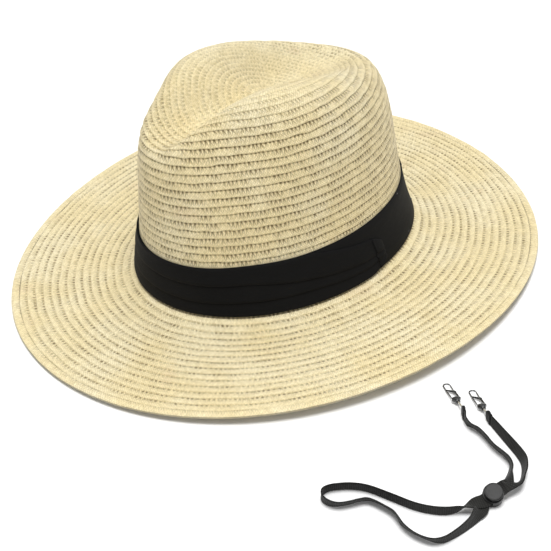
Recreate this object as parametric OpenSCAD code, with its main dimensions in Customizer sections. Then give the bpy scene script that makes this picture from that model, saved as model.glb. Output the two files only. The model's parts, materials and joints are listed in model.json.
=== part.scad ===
// Straw sun hat with a teardrop crown, a pleated fabric band and a detachable chin strap.
// Front of the hat is towards -Y, the wearer's left is +X, and the brim rests on z = 0.
// Angles round the hat start at the front and grow towards the wearer's left.

/* [Crown] */
// Half width of the crown at the brim, outside
crown_half_w = 80; // [76:0.5:84]
// Half length of the crown at the brim, outside
crown_half_l = 103; // [99:0.5:107]
// Mean height of the crest above the brim
crest_z = 119; // [112:1:124]
// Rise of the crest from front to back
crest_rise = 2.3; // [0:0.1:5]
// Rise of the side crests over the front and back
crest_sides = 12; // [8:0.5:14]
// Extra rise of the crest between the front pinch and the sides
crest_wave = 3.8; // [0:0.1:5]
// Half width of the crest
crest_half_w = 34; // [30:0.5:40]
// Half length of the crest
crest_half_l = 82; // [76:0.5:86]
// Shift of the crest towards the front
crest_shift = 13.6; // [8:0.2:16]
// Height of the middle of the crease above the brim
crease_z = 109; // [104:0.5:112]
// Depth of the pinch at each side of the front
pinch_depth = 6.5; // [0:0.5:8]
// Thickness of the sewn braid
braid_t = 1.6; // [1.4:0.1:2]

/* [Brim] */
// Width of the brim, measured outwards from the crown
brim_w = 84.5; // [78:0.5:88]
// Drop of the brim just outside the crown
brim_break = 4.5; // [3:0.5:6]
// Mean droop of the brim's edge below the break
brim_droop = 3.1; // [2:0.1:6]
// Width of the doubled last row of braid
edge_w = 5.2; // [4:0.1:7]
// Thickness of the doubled last row
edge_t = 2.6; // [2.2:0.1:3.2]

/* [Band] */
// Height of the hatband
band_h = 32.8; // [28:0.2:36]
// Thickness of the ribbon under the pleats
lining_t = 0.7; // [0.5:0.1:0.9]
// Thickness of each laid pleat where it is fullest
pleat_t = 1.9; // [1.2:0.1:2.2]
// Height of the sweatband
sweat_h = 30; // [26:0.5:32]
// Thickness of the sweatband
sweat_t = 1; // [0.8:0.1:1.2]

/* [Chin strap] */
// Width of the webbing
web_w = 7.6; // [7.2:0.1:7.8]
// Thickness of the webbing
web_t = 0.9; // [0.7:0.1:1]
// Length of a clip from collar to tip
clip_len = 20.5; // [19:0.5:21.5]
// Diameter of the gate wire
wire_d = 0.7; // [0.6:0.05:0.8]
// Radius of the cord lock
lock_r = 5.7; // [5.5:0.1:6]
// Travel of the cord lock's button
press_travel = 1.2; // [0.9:0.1:1.2]

/* [Hidden] */
$fn = 48;

straw = [0.94, 0.89, 0.72];
black_cloth = [0.1, 0.1, 0.1];
black_plastic = [0.15, 0.15, 0.15];
steel = [0.6, 0.6, 0.6];

// Steps round the hat, up the wall and into the crease
turn_n = 60;
turn_step = 360 / turn_n;
wall_n = 12;
dish_n = 7;
around = [for (i = [0:turn_n - 1]) i * turn_step];

// Shape of the wall's curve between brim and crest
wall_rise = 0.4;
wall_taper = 0.45;
wall_round = 0.8;
// Middle of the crease, towards the front
crease_y = -5;
// Place and spread of the two pinches: angle round the hat, and share of the wall's curve
pinch_at = 49;
pinch_spread = 14;
pinch_up = 0.68;
pinch_tall = 0.27;
// Share of the brim's width that the break takes
break_share = 0.22;
brim_curve = 1.2;

// ---------- Surface of the hat, measured from the join of crown and brim ----------

function unit(v) = v / norm(v);
function mix(a, b, t) = a * (1 - t) + b * t;
function out_dir(a) = unit([sin(a) / crown_half_w, -cos(a) / crown_half_l, 0]);
function base(a) = [crown_half_w * sin(a), -crown_half_l * cos(a), 0];
function crest(a) = [crest_half_w * sin(a), -crest_half_l * cos(a) - crest_shift,
    crest_z + crest_rise * cos(a) - crest_sides * cos(2 * a) - crest_wave * cos(3 * a)];
function bell(x) = exp(-x * x / 2);
function half_turn(a) = abs((a + 540) % 360 - 180);
function pinch(a, v) = pinch_depth * bell((half_turn(a) - pinch_at) / pinch_spread)
    * bell((v - pinch_up) / pinch_tall);
function wall(a, v) =
    let (b = base(a), c = crest(a), p = mix(b, c, wall_taper), q = mix(c, b, wall_round),
        p1 = [p[0], p[1], c[2] * wall_rise], p2 = [q[0], q[1], c[2]], u = 1 - v)
    b * u ^ 3 + p1 * 3 * v * u ^ 2 + p2 * 3 * v ^ 2 * u + c * v ^ 3 - out_dir(a) * pinch(a, v);
function dish(a, t) =
    let (c = wall(a, 1), s = t * t * (3 - 2 * t))
    [c[0] * (1 - t), c[1] * (1 - t) + crease_y * t, mix(c[2], crease_z, s)];
// The whole crown as one profile: s runs 0..1 up the wall and 1..2 down into the crease
function profile(a, s) = s <= 1 ? wall(a, s) : dish(a, s - 1);
function face_dir(a, s) =
    unit(cross(profile(a + 1, s) - profile(a - 1, s),
        profile(a, min(s + 0.02, 1.98)) - profile(a, max(s - 0.02, 0))));
function droop(a) = brim_droop + 2 * cos(a) + 1.9 * cos(2 * a) - 3.5 * sin(2 * a)
    - 0.6 * cos(3 * a) + sin(3 * a);
function brim_top(a, r) =
    let (q = min(r / break_share, 1))
    base(a) + out_dir(a) * brim_w * r
    + [0, 0, -droop(a) * r ^ brim_curve - brim_break * (1 - (1 - q) ^ 2)];
// Curve value of the wall at a height above the join, by halving
function v_at(a, z, lo = 0, hi = 1, n = 16) =
    n == 0 ? (lo + hi) / 2
    : let (m = (lo + hi) / 2) wall(a, m)[2] > z ? v_at(a, z, lo, m, n - 1) : v_at(a, z, m, hi, n - 1);
// Point beside the wall at height z, standing out by d (inwards when negative)
function beside(a, z, d) = wall(a, v_at(a, z)) + out_dir(a) * d;

// Shares of the brim's width where the doubled row begins and where its rounding begins
edge_round = 0.8;
edge_in = 1 - edge_w / brim_w;
edge_mid = 1 - edge_round / brim_w;
// How far the doubled row stands above the brim's face
edge_proud = 0.5;
// Height of the join above the surface that the brim's lowest point rests on
join_z = edge_t - edge_proud - min([for (a = around) brim_top(a, edge_mid)[2]]);

// ---------- Solids from rings of points ----------

// Faces of a strip between rings of m points, each ring a closed outline
function strip_faces(n, m, closed) =
    [for (i = [0:(closed ? n - 1 : n - 2)], j = [0:m - 1])
        let (a = i * m + j, b = i * m + (j + 1) % m, c = ((i + 1) % n) * m + (j + 1) % m,
            d = ((i + 1) % n) * m + j)
        each [[a, b, c], [a, c, d]]];
function cap_faces(n, m) =
    [[for (j = [m - 1:-1:0]) j], [for (j = [0:m - 1]) (n - 1) * m + j]];
module loft(rings, closed = false) {
    n = len(rings);
    m = len(rings[0]);
    faces = closed ? strip_faces(n, m, true) : concat(strip_faces(n, m, false), cap_faces(n, m));
    polyhedron([for (r = rings) each r], faces, convexity = 10);
}
module on_join() {
    translate([0, 0, join_z]) children();
}
// A thin upright band between two heights, on the wall's outside or inside
module wall_band(from_a, to_a, z0, z1, d0, d1, closed = false, steps = 5) {
    n = round((to_a - from_a) / turn_step);
    ends = closed ? n - 1 : n;
    rings = [for (i = [0:ends]) let (a = from_a + (to_a - from_a) * i / n)
        concat([for (k = [0:steps]) beside(a, mix(z0, z1, k / steps), d1)],
            [for (k = [steps:-1:0]) beside(a, mix(z0, z1, k / steps), d0)])];
    loft(rings, closed);
}

// ---------- Hat ----------

module crown() {
    s_rows = concat([for (k = [0:wall_n]) k / wall_n], [for (k = [1:dish_n - 1]) 1 + k / dish_n]);
    m = len(s_rows);
    n = turn_n;
    inner = function (a, s) s == 0 ? base(a) - out_dir(a) * braid_t
        : profile(a, s) - face_dir(a, s) * braid_t;
    pole = [0, crease_y, crease_z];
    points = concat([for (s = s_rows, a = around) profile(a, s)],
        [for (s = s_rows, a = around) inner(a, s)], [pole, pole - [0, 0, braid_t]]);
    inside = n * m;
    top = 2 * n * m;
    faces = concat(
        [for (k = [0:m - 2], i = [0:n - 1])
            let (j = (i + 1) % n, a = k * n + i, b = k * n + j, c = (k + 1) * n + j, d = (k + 1) * n + i)
            each [[a, c, b], [a, d, c], [inside + a, inside + b, inside + c],
                [inside + a, inside + c, inside + d]]],
        [for (i = [0:n - 1]) let (j = (i + 1) % n, a = (m - 1) * n + i, b = (m - 1) * n + j)
            each [[a, top, b], [inside + a, inside + b, top + 1]]],
        [for (i = [0:n - 1]) let (j = (i + 1) % n)
            each [[i, j, inside + j], [i, inside + j, inside + i]]]);
    color(straw) on_join() polyhedron(points, faces, convexity = 10);
}

module brim() {
    r_steps = [0, 0.04, 0.08, 0.14, 0.22, 0.4, 0.6, 0.8, edge_in];
    under = [0, 0, -braid_t];
    rings = [for (a = around)
        let (inner = base(a) - out_dir(a) * braid_t)
        concat([inner + under], [for (r = r_steps) brim_top(a, r) + under],
            [for (k = [len(r_steps) - 1:-1:0]) brim_top(a, r_steps[k])], [inner])];
    color(straw) on_join() loft(rings, true);
}

module brim_edge() {
    low = edge_proud - edge_t;
    bevel = 0.7;
    rings = [for (a = around)
        [brim_top(a, edge_in) + [0, 0, low], brim_top(a, edge_mid) + [0, 0, low],
            brim_top(a, 1) + [0, 0, low + bevel], brim_top(a, 1) + [0, 0, edge_proud - bevel],
            brim_top(a, edge_mid) + [0, 0, edge_proud], brim_top(a, edge_in) + [0, 0, edge_proud]]];
    color(straw) on_join() loft(rings, true);
}

// The band starts at the back, runs round the wearer's right and the front, and ends
// in a fold on the wearer's left that laps over the plain ribbon
band_low = 0.8;
band_gap = 0.2;
pleat_start = -180;
fold_start = 93;
fold_tip = 105;
// Slack between two layers of cloth
cloth_gap = 0.15;
pleat_in = band_gap + lining_t + cloth_gap;
pleat_angles = concat([for (a = [pleat_start:turn_step:fold_start]) a], [fold_start]);
lap_from = 70;
// Drop of the pleats' top for each degree beyond lap_from
lap_drop = 0.42;
function pleat_top(a) = a < lap_from ? band_h : band_h - (a - lap_from) * lap_drop;
// Share of the height where the bottom and the middle pleat end
pleat_low = 0.34;
pleat_high = 0.67;
module pleat(low, high) {
    rings = [for (a = pleat_angles)
        let (z0 = band_low + pleat_top(a) * low, z1 = band_low + pleat_top(a) * high,
            full = a == pleat_start ? 0.5 : pleat_t)
        [beside(a, z0, pleat_in), beside(a, z0, pleat_in + full * 0.55),
            beside(a, mix(z0, z1, 0.35), pleat_in + full),
            beside(a, mix(z0, z1, 0.7), pleat_in + full * 0.9),
            beside(a, z1, pleat_in + full * 0.4), beside(a, z1, pleat_in)]];
    color(black_cloth) on_join() loft(rings);
}
module band_lining() {
    color(black_cloth) on_join()
        wall_band(0, 360, band_low, band_low + band_h, band_gap, band_gap + lining_t, true);
}
module band_pleat_top() {
    pleat(pleat_high, 1);
}
module band_pleat_middle() {
    pleat(pleat_low, pleat_high);
}
module band_pleat_bottom() {
    pleat(0, pleat_low);
}
module band_fold_end() {
    steps = 6;
    tall = pleat_top(fold_start);
    rings = [for (i = [0:steps])
        let (t = i / steps, a = mix(fold_start, fold_tip, t),
            shrink = sqrt(1 - 0.75 * t * t), mid = band_low + tall * mix(0.5, 0.42, t),
            z0 = mid - tall * 0.5 * shrink * mix(1, 0.84, t), z1 = mid + tall * 0.5 * shrink,
            full = pleat_t * mix(1, 0.7, t * t))
        [beside(a, z0, pleat_in), beside(a, z0, pleat_in + full * 0.5),
            beside(a, mix(z0, z1, 0.3), pleat_in + full),
            beside(a, mix(z0, z1, 0.65), pleat_in + full),
            beside(a, z1, pleat_in + full * 0.5), beside(a, z1, pleat_in)]];
    color(black_cloth) on_join() loft(rings);
}
module tack(a, z, d, l, h, t) {
    translate(beside(a, z, d)) rotate([0, 0, atan2(out_dir(a)[1], out_dir(a)[0])])
        cube([t, l, h], center = true);
}
// Small thread tacks, each through the band and a little way into the straw
tack_at = [125, 150, 172];
tack_in = 2;
module band_stitches() {
    through = band_gap + lining_t + 0.9;
    color(black_cloth) on_join()
        for (a = tack_at, z = [band_low + tack_in, band_low + band_h - tack_in])
            tack(a, z, through / 2 - 0.1, 2, 0.5, through);
}
sweat_low = 0.8;
sweat_d = -braid_t - 0.2;
module sweatband() {
    color(black_cloth) on_join()
        wall_band(0, 360, sweat_low, sweat_low + sweat_h, sweat_d - sweat_t, sweat_d, true);
}
module sweatband_stitches() {
    through = sweat_t + 1.2;
    color(straw) on_join()
        for (i = [0:turn_n - 1])
            tack((i + 0.5) * turn_step, sweat_low + 2.5, sweat_d - sweat_t + through / 2 - 0.35,
                4, 0.6, through);
}
// Touch-fastener tapes inside the back of the sweatband
tape_h = 20;
tape_low = 6;
module size_tape(from_a, to_a, d, t) {
    color(black_cloth) on_join()
        wall_band(from_a, to_a, tape_low, tape_low + tape_h, d - t, d, false, 3);
}
loop_d = sweat_d - sweat_t - cloth_gap;
loop_t = 1;
module size_loop_tape() {
    size_tape(162, 192, loop_d, loop_t);
}
module size_hook_tape() {
    size_tape(168, 186, loop_d - loop_t - cloth_gap, 1.2);
}

// ---------- Rings that the strap hooks on to, at each side of the head opening ----------

ring_wire = 0.75;
ring_half = 4.5;
tab_w = 8;
tab_t = 0.8;
sleeve_out = 1.8;
tab_h = 14;
tab_gap = 0.3;
pivot_z = 2.6;
pivot_x = crown_half_w - braid_t - sweat_t - tab_t - 2.9;
// The tab's side view: it follows the sweatband's slope down to the sleeve
function tab_x(h) = min(beside(90, pivot_z + h, sweat_d - sweat_t - tab_gap)[0] - pivot_x, sleeve_out);
tab_steps = [0, 3.5, 7, 10.5, tab_h];
tab_outline = concat([for (h = tab_steps) [tab_x(h), h]],
    [for (k = [len(tab_steps) - 1:-1:0]) [tab_x(tab_steps[k]) - tab_t, tab_steps[k]]]);
module at_pivot(side) {
    translate([side * pivot_x, 0, join_z + pivot_z]) children();
}
module tab(side) {
    color(black_cloth) difference() {
        union() {
            at_pivot(side) rotate([90, 0, 0]) cylinder(r = sleeve_out, h = tab_w, center = true);
            at_pivot(side) rotate([90, 0, 0]) linear_extrude(tab_w, center = true)
                polygon([for (p = tab_outline) [side * p[0], p[1]]]);
        }
        at_pivot(side) rotate([90, 0, 0]) cylinder(r = ring_wire + 0.06, h = tab_w + 2, center = true);
    }
}
module d_ring(side) {
    color(steel) at_pivot(side) {
        rotate([90, 0, 0]) cylinder(r = ring_wire, h = 2 * ring_half + 2 * ring_wire, center = true);
        for (e = [-1, 1]) translate([0, e * (ring_half + ring_wire), -1.8])
            cylinder(r = ring_wire, h = 1.8);
        for (e = [-1, 1]) translate([0, e * (ring_half + ring_wire), 0]) sphere(ring_wire);
        translate([0, 0, -1.8]) rotate([0, 90, 0]) rotate_extrude(angle = 180, start = -90)
            translate([ring_half + ring_wire, 0]) circle(ring_wire);
    }
}
module strap_tab_left() {
    tab(1);
}
module strap_tab_right() {
    tab(-1);
}
module strap_ring_left() {
    d_ring(1);
}
module strap_ring_right() {
    d_ring(-1);
}

// ---------- Chin strap, lying on the surface beside the hat ----------

// Centre line of the webbing: place, then the lean of its width above the level
strap_route = [[202.5, -42.5, 3.8, 88], [206.5, -45.2, 3.9, 100], [211, -45.6, 3.7, 118],
    [217, -45.8, 3.8, 112], [224, -47.8, 3.9, 108], [231, -49.8, 3.8, 113], [238, -50.8, 3.8, 112],
    [244, -53, 3.9, 98], [248.2, -57.2, 3.9, 74], [251, -62.4, 4.3, 62], [253.8, -67.2, 6.4, 28],
    [257, -72.3, 8.2, -20], [256.4, -75.5, 7.5, -20], [255.5, -80.9, 6.3, -20], [254.4, -86.7, 5, -20],
    [252.4, -91, 4.9, -8], [250.4, -95.6, 4.4, 35], [248, -100.4, 4, 70], [244.5, -105.6, 3.9, 80],
    [238.5, -110.6, 3.9, 80], [230, -115, 3.9, 80], [217, -118.8, 3.9, 80], [204, -122.8, 3.9, 76],
    [196, -128, 3.9, 74], [190.4, -134.4, 3.9, 74], [188, -139, 3.9, 76], [188.4, -143, 3.9, 86],
    [191.6, -145.4, 3.9, 96], [196, -145.3, 3.8, 108], [200.4, -142.6, 3.7, 118],
    [203.4, -138, 3.6, 120], [205.8, -133, 3.6, 122], [208.4, -128.8, 3.5, 124],
    [213, -126.6, 3.5, 126], [220, -125.6, 3.5, 124], [226, -125.9, 3.7, 114], [231, -127.8, 3.8, 104],
    [236, -129, 3.7, 112], [242, -128.9, 3.5, 122], [248, -127.8, 3.5, 125], [253.4, -125.8, 3.7, 118],
    [256.8, -121.8, 3.8, 106], [258.2, -116, 3.9, 98], [258.8, -109, 3.9, 90], [258.6, -102, 3.9, 78],
    [257.4, -95.8, 4, 50], [256.2, -91, 2.9, 15], [254, -86.4, 3.9, 20], [255.1, -80.7, 5.3, 20],
    [256.1, -75.2, 6.5, 20], [256.7, -72, 7.2, 20], [258.2, -67.5, 6.6, -12], [258.8, -63.5, 5, -45],
    [257.4, -58.5, 4, -68], [254.4, -52.8, 3.9, -68], [249.4, -47.2, 3.9, -70], [243, -44, 3.9, -76],
    [236, -41.6, 3.9, -79], [229, -39.3, 3.9, -82], [222, -37, 3.9, -85], [216, -35, 3.8, -88]];
function place(i) = [strap_route[i][0], strap_route[i][1], strap_route[i][2]];
module webbing() {
    last = len(strap_route) - 1;
    hw = web_w / 2;
    ht = web_t / 2;
    outline = [[hw - 0.3, -ht], [hw, -ht + 0.25], [hw, ht - 0.25], [hw - 0.3, ht],
        [0.3 - hw, ht], [-hw, ht - 0.25], [-hw, 0.25 - ht], [0.3 - hw, -ht]];
    rings = [for (i = [0:last])
        let (t = unit(place(min(i + 1, last)) - place(max(i - 1, 0))), level = unit([-t[1], t[0], 0]),
            up = cross(t, level), lean = strap_route[i][3],
            wide = level * cos(lean) + up * sin(lean), thick = cross(t, wide))
        [for (p = outline) place(i) + wide * p[0] + thick * p[1]]];
    color(black_cloth) loft([for (r = rings) [for (k = [7:-1:0]) r[k]]]);
}

// Rear of each end sleeve, its direction, and each clip's collar and direction
sleeve_place = [place(0), place(len(strap_route) - 1)];
sleeve_dir = [139, 152];
clip_place = [[191.6, -35.3, 3.2], [206, -29.6, 3.2]];
clip_dir = [153, 151];
clip_tilt = 8;
link_len = [8.2, 6.6];
sleeve_len = 7;
sleeve_t = 2.4;
module end_sleeve(i) {
    corner = web_w / 2 - 0.9;
    color(black_cloth) translate(sleeve_place[i]) rotate([0, 0, sleeve_dir[i]])
        translate([cloth_gap, 0, 0]) rotate([90, 0, 0])
        linear_extrude(sleeve_t, center = true) union() {
            translate([0, -web_w / 2]) square([sleeve_len - corner, web_w]);
            translate([sleeve_len - corner, 0.9]) circle(corner);
            translate([sleeve_len - corner, -0.9]) circle(corner);
            translate([sleeve_len - corner, -0.9]) square([corner, 1.8]);
        }
}
module on_clip(i) {
    translate(clip_place[i]) rotate([0, 0, clip_dir[i]]) rotate([0, clip_tilt, 0]) children();
}
// Places on the clip: x along it from the collar, y across it
post_r = 0.6;
head_r = 0.9;
clearance = 0.05;
block_t = 2.6;
bar_t = 1.8;
side_y = 2.15;
tip_r = 2.05;
tip_x = clip_len - tip_r - wire_d / 2;
pivot = [10, -1.65];
pin_r = 0.35;
module swivel_link(i) {
    color(steel) on_clip(i) rotate([0, 90, 0]) {
        translate([0, 0, -link_len[i]]) cylinder(r = post_r, h = link_len[i] + 1.9);
        translate([0, 0, 1.85]) cylinder(r = head_r, h = 0.6);
    }
}
// A round wire along points on the clip's middle plane
module wire(points) {
    last = len(points) - 1;
    sides = 8;
    rings = [for (i = [0:last])
        let (t = unit(points[min(i + 1, last)] - points[max(i - 1, 0)]), side = [-t[1], t[0]])
        [for (k = [sides - 1:-1:0])
            let (c = cos(k * 360 / sides) * wire_d / 2, h = sin(k * 360 / sides) * wire_d / 2)
            [points[i][0] + side[0] * c, points[i][1] + side[1] * c, h]]];
    loft(rings);
}
// The block with the swivel's collar, and the side bar that runs on as the crossbar
block_outline = [[0, -1.3], [2.6, -2.5], [3.2, -3], [4.3, -2.6], [4.3, 2.4], [3, 2.7], [2.2, 2.4],
    [0, 1.3]];
bar_outline = [[4.2, -2.6], [10.2, -2.6], [10.9, -2.2], [10.9, -0.9], [12.2, 0.3], [13.9, 1.6],
    [13.6, 1.9], [11, 1.9], [9.4, 0.2], [8, -1.1], [4.2, -1.7]];
module clip_body(i) {
    bend = [for (a = [90:-15:-75]) [tip_x + tip_r * cos(a), tip_r * sin(a)]];
    color(black_plastic) on_clip(i) difference() {
        union() {
            linear_extrude(block_t, center = true) polygon(block_outline);
            linear_extrude(bar_t, center = true) polygon(bar_outline);
            wire(concat([[3.6, side_y], [10, side_y + 0.05]], bend));
        }
        rotate([0, 90, 0]) translate([0, 0, -1]) cylinder(r = post_r + clearance, h = 2.8);
        rotate([0, 90, 0]) translate([0, 0, 1.75]) cylinder(r = head_r + clearance, h = 0.8);
        difference() {
            union() {
                translate([pivot[0], pivot[1], 0]) cylinder(r = 1, h = 1, center = true);
                translate([pivot[0], pivot[1] - 0.5, -0.5]) cube([3, 1.6, 1]);
            }
            translate([pivot[0], pivot[1], 0]) cylinder(r = pin_r, h = 2, center = true);
        }
    }
}
module clip_gate(i) {
    color(steel) on_clip(i) union() {
        difference() {
            translate([pivot[0], pivot[1], 0]) cylinder(r = 0.8, h = 0.8, center = true);
            translate([pivot[0], pivot[1], 0]) cylinder(r = pin_r + clearance, h = 2, center = true);
        }
        wire([pivot + [0.6, -0.02], [tip_x - 4, -tip_r + 0.1], [tip_x - 0.1, -tip_r]]);
    }
}
module end_sleeve_1() {
    end_sleeve(0);
}
module end_sleeve_2() {
    end_sleeve(1);
}
module swivel_link_1() {
    swivel_link(0);
}
module swivel_link_2() {
    swivel_link(1);
}
module clip_body_1() {
    clip_body(0);
}
module clip_body_2() {
    clip_body(1);
}
module clip_gate_1() {
    clip_gate(0);
}
module clip_gate_2() {
    clip_gate(1);
}

// ---------- Cord lock, leaning on the webbing that runs through it ----------

lock_place = [255.3, -80.8, 5.9];
lock_turns = [-41, 23, -57];
stem_r = 4.75;
slot_w = 8.6;
slot_h = 3;
floor_t = 0.6;
rim_z = 2;
rim_h = 0.4;
rim_step = 0.25;
stem_foot = 0.6;
module on_lock() {
    translate(lock_place) rotate([0, 0, lock_turns[0]]) rotate([0, lock_turns[1], 0])
        rotate([0, 0, lock_turns[2]]) children();
}
stem_low = -slot_h / 2 + 0.1 - stem_foot;
pit_z = stem_low - press_travel - 0.1;
module lock_body() {
    color(black_plastic) on_lock() difference() {
        union() {
            translate([0, 0, pit_z - floor_t]) cylinder(r = lock_r, h = rim_z - rim_h - pit_z + floor_t);
            translate([0, 0, rim_z - rim_h]) cylinder(r = lock_r - rim_step, h = rim_h);
        }
        translate([0, 0, pit_z]) cylinder(r = stem_r + clearance, h = 10);
        cube([4 * lock_r, slot_w, slot_h], center = true);
    }
}
module lock_button() {
    cap_z = rim_z + press_travel + 0.1;
    slot_top = slot_h / 2 + press_travel;
    color(black_plastic) on_lock() difference() {
        union() {
            translate([0, 0, stem_low]) cylinder(r = stem_r, h = cap_z - stem_low + 0.1);
            translate([0, 0, cap_z]) cylinder(r = 5.1, h = 0.8);
            translate([0, 0, cap_z + 0.8]) cylinder(r = 4.7, h = 0.3);
        }
        translate([-10, -slot_w / 2, -slot_h / 2 + 0.1]) cube([20, slot_w, slot_top + slot_h / 2 - 0.1]);
    }
}
module lock_spring() {
    color(steel) on_lock() difference() {
        translate([0, 0, pit_z]) cylinder(r = 2.6, h = stem_low - pit_z);
        translate([0, 0, pit_z - 1]) cylinder(r = 1.9, h = 5);
    }
}

crown();
brim();
brim_edge();
band_lining();
band_pleat_top();
band_pleat_middle();
band_pleat_bottom();
band_fold_end();
band_stitches();
sweatband();
sweatband_stitches();
size_loop_tape();
size_hook_tape();
strap_tab_left();
strap_tab_right();
strap_ring_left();
strap_ring_right();
webbing();
end_sleeve_1();
end_sleeve_2();
swivel_link_1();
swivel_link_2();
clip_body_1();
clip_body_2();
clip_gate_1();
clip_gate_2();
lock_body();
lock_button();
lock_spring();
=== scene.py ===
import json
import math

import bpy
import numpy as np
from mathutils import Matrix, Vector


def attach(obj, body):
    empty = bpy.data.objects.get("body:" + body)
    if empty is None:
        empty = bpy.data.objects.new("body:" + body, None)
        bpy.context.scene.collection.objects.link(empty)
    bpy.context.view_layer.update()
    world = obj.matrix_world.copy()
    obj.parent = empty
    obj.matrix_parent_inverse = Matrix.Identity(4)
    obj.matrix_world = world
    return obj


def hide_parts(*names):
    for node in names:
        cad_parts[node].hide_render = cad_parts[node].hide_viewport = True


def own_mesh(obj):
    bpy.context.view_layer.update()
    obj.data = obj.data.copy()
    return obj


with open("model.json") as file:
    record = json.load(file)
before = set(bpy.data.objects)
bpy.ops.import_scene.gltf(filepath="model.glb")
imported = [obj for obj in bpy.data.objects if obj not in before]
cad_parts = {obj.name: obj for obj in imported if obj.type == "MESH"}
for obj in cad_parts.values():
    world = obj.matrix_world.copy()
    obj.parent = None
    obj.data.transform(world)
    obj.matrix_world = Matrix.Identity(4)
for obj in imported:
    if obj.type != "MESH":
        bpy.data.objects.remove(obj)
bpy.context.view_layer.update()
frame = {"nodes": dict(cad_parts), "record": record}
rng = np.random.default_rng(7)
MM = 0.001

# ---------- Camera ----------

AZIMUTH, ELEVATION, ROLL = (math.radians(a) for a in (49.017, 36.142, 2.995))
TARGET = Vector((0.0767, -0.0708, 0.0544))
DISTANCE = 0.8004
LENS, SENSOR = 87.7, 36


def make_camera():
    data = bpy.data.cameras.new("camera")
    data.sensor_width = SENSOR
    data.lens = LENS
    data.clip_start = 0.05
    camera = bpy.data.objects.new("camera", data)
    bpy.context.scene.collection.objects.link(camera)
    sa, ca = math.sin(AZIMUTH), math.cos(AZIMUTH)
    se, ce = math.sin(ELEVATION), math.cos(ELEVATION)
    away = Vector((sa * ce, -ca * ce, se))
    right = Vector((ca, sa, 0))
    up = Vector((-sa * se, ca * se, ce))
    x = right * math.cos(ROLL) - up * math.sin(ROLL)
    y = right * math.sin(ROLL) + up * math.cos(ROLL)
    turn = Matrix((x, y, away)).transposed().to_4x4()
    camera.matrix_world = Matrix.Translation(TARGET + away * DISTANCE) @ turn
    bpy.context.scene.camera = camera


make_camera()
bpy.context.scene.view_settings.view_transform = "Standard"

# ---------- Materials ----------


class Shader:
    """One node material: shader sockets by name, and short calls for the nodes in front of them."""

    def __init__(self, name, **sockets):
        self.material = bpy.data.materials.new(name)
        self.material.use_nodes = True
        self.tree = self.material.node_tree
        self.bsdf = self.tree.nodes["Principled BSDF"]
        for key, value in sockets.items():
            self.bsdf.inputs[key.replace("_", " ")].default_value = value

    def put(self, socket, value):
        if isinstance(value, bpy.types.NodeSocket):
            self.tree.links.new(value, socket)
        else:
            socket.default_value = value

    def node(self, kind, out=0, settings=(), **inputs):
        node = self.tree.nodes.new("ShaderNode" + kind)
        for key, value in dict(settings).items():
            setattr(node, key, value)
        for key, value in inputs.items():
            self.put(node.inputs[key.replace("_", " ")], value)
        return node.outputs[out]

    def math(self, operation, *values):
        node = self.tree.nodes.new("ShaderNodeMath")
        node.operation = operation
        for k, value in enumerate(values):
            self.put(node.inputs[k], value)
        return node.outputs[0]

    def step(self, value, low, high, to_low=0.0, to_high=1.0):
        """Smooth step of value between low and high."""
        return self.node("MapRange", settings={"interpolation_type": "SMOOTHSTEP"}, Value=value,
                         From_Min=low, From_Max=high, To_Min=to_low, To_Max=to_high)

    def wave(self, value, period, shift=0.0):
        """Sine of value with a period, between 0 and 1."""
        turned = self.math("MULTIPLY_ADD", value, 2 * math.pi / period, shift)
        return self.math("MULTIPLY_ADD", self.math("SINE", turned), 0.5, 0.5)

    def noise(self, scale, detail=2, stretch=(1, 1, 1)):
        """Noise in the piece's own space, scale counted per metre."""
        place = self.node("Mapping", Vector=self.node("TexCoord", out=3), Scale=stretch)
        return self.node("TexNoise", Vector=place, Scale=scale, Detail=detail)

    def mix(self, share, a, b):
        node = self.tree.nodes.new("ShaderNodeMix")
        node.data_type = "RGBA"
        for key, value in ((0, share), (6, a), (7, b)):
            self.put(node.inputs[key], value)
        return node.outputs[2]

    def uv(self):
        """The lay of the material: u and v, in the units that each mesh gives them."""
        split = self.tree.nodes.new("ShaderNodeSeparateXYZ")
        self.tree.links.new(self.node("UVMap", settings={"uv_map": "lay"}), split.inputs[0])
        return split.outputs[0], split.outputs[1]

    def bump(self, height, depth, strength, under=None):
        inputs = {"Height": height, "Distance": depth, "Strength": strength}
        if under:
            inputs["Normal"] = under
        return self.node("Bump", **inputs)

    def finish(self, colour=None, rough=None, normal=None):
        for key, value in (("Base Color", colour), ("Roughness", rough), ("Normal", normal)):
            if value is not None:
                self.put(self.bsdf.inputs[key], value)
        return self.material


def rgb(r, g, b):
    return (r, g, b, 1.0)


# v of the straw counts rows of braid. The join is at 40, so the brim runs from 25 to 40 and the
# crown from 40 to 80. The edge's roll is under 25: its underside below 24, its upper face above.
JOIN_V, ROLL_V = 40, 24
# Rows between which the seams fade into the crease
CREASE_V = (61, 68)
# A plait strand's width and the run from one strand end to the next, in mm
STRAND, STITCH_END = 1.6, 2.6
# The plait repeats after this many mm
REPEAT = 16


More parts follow.
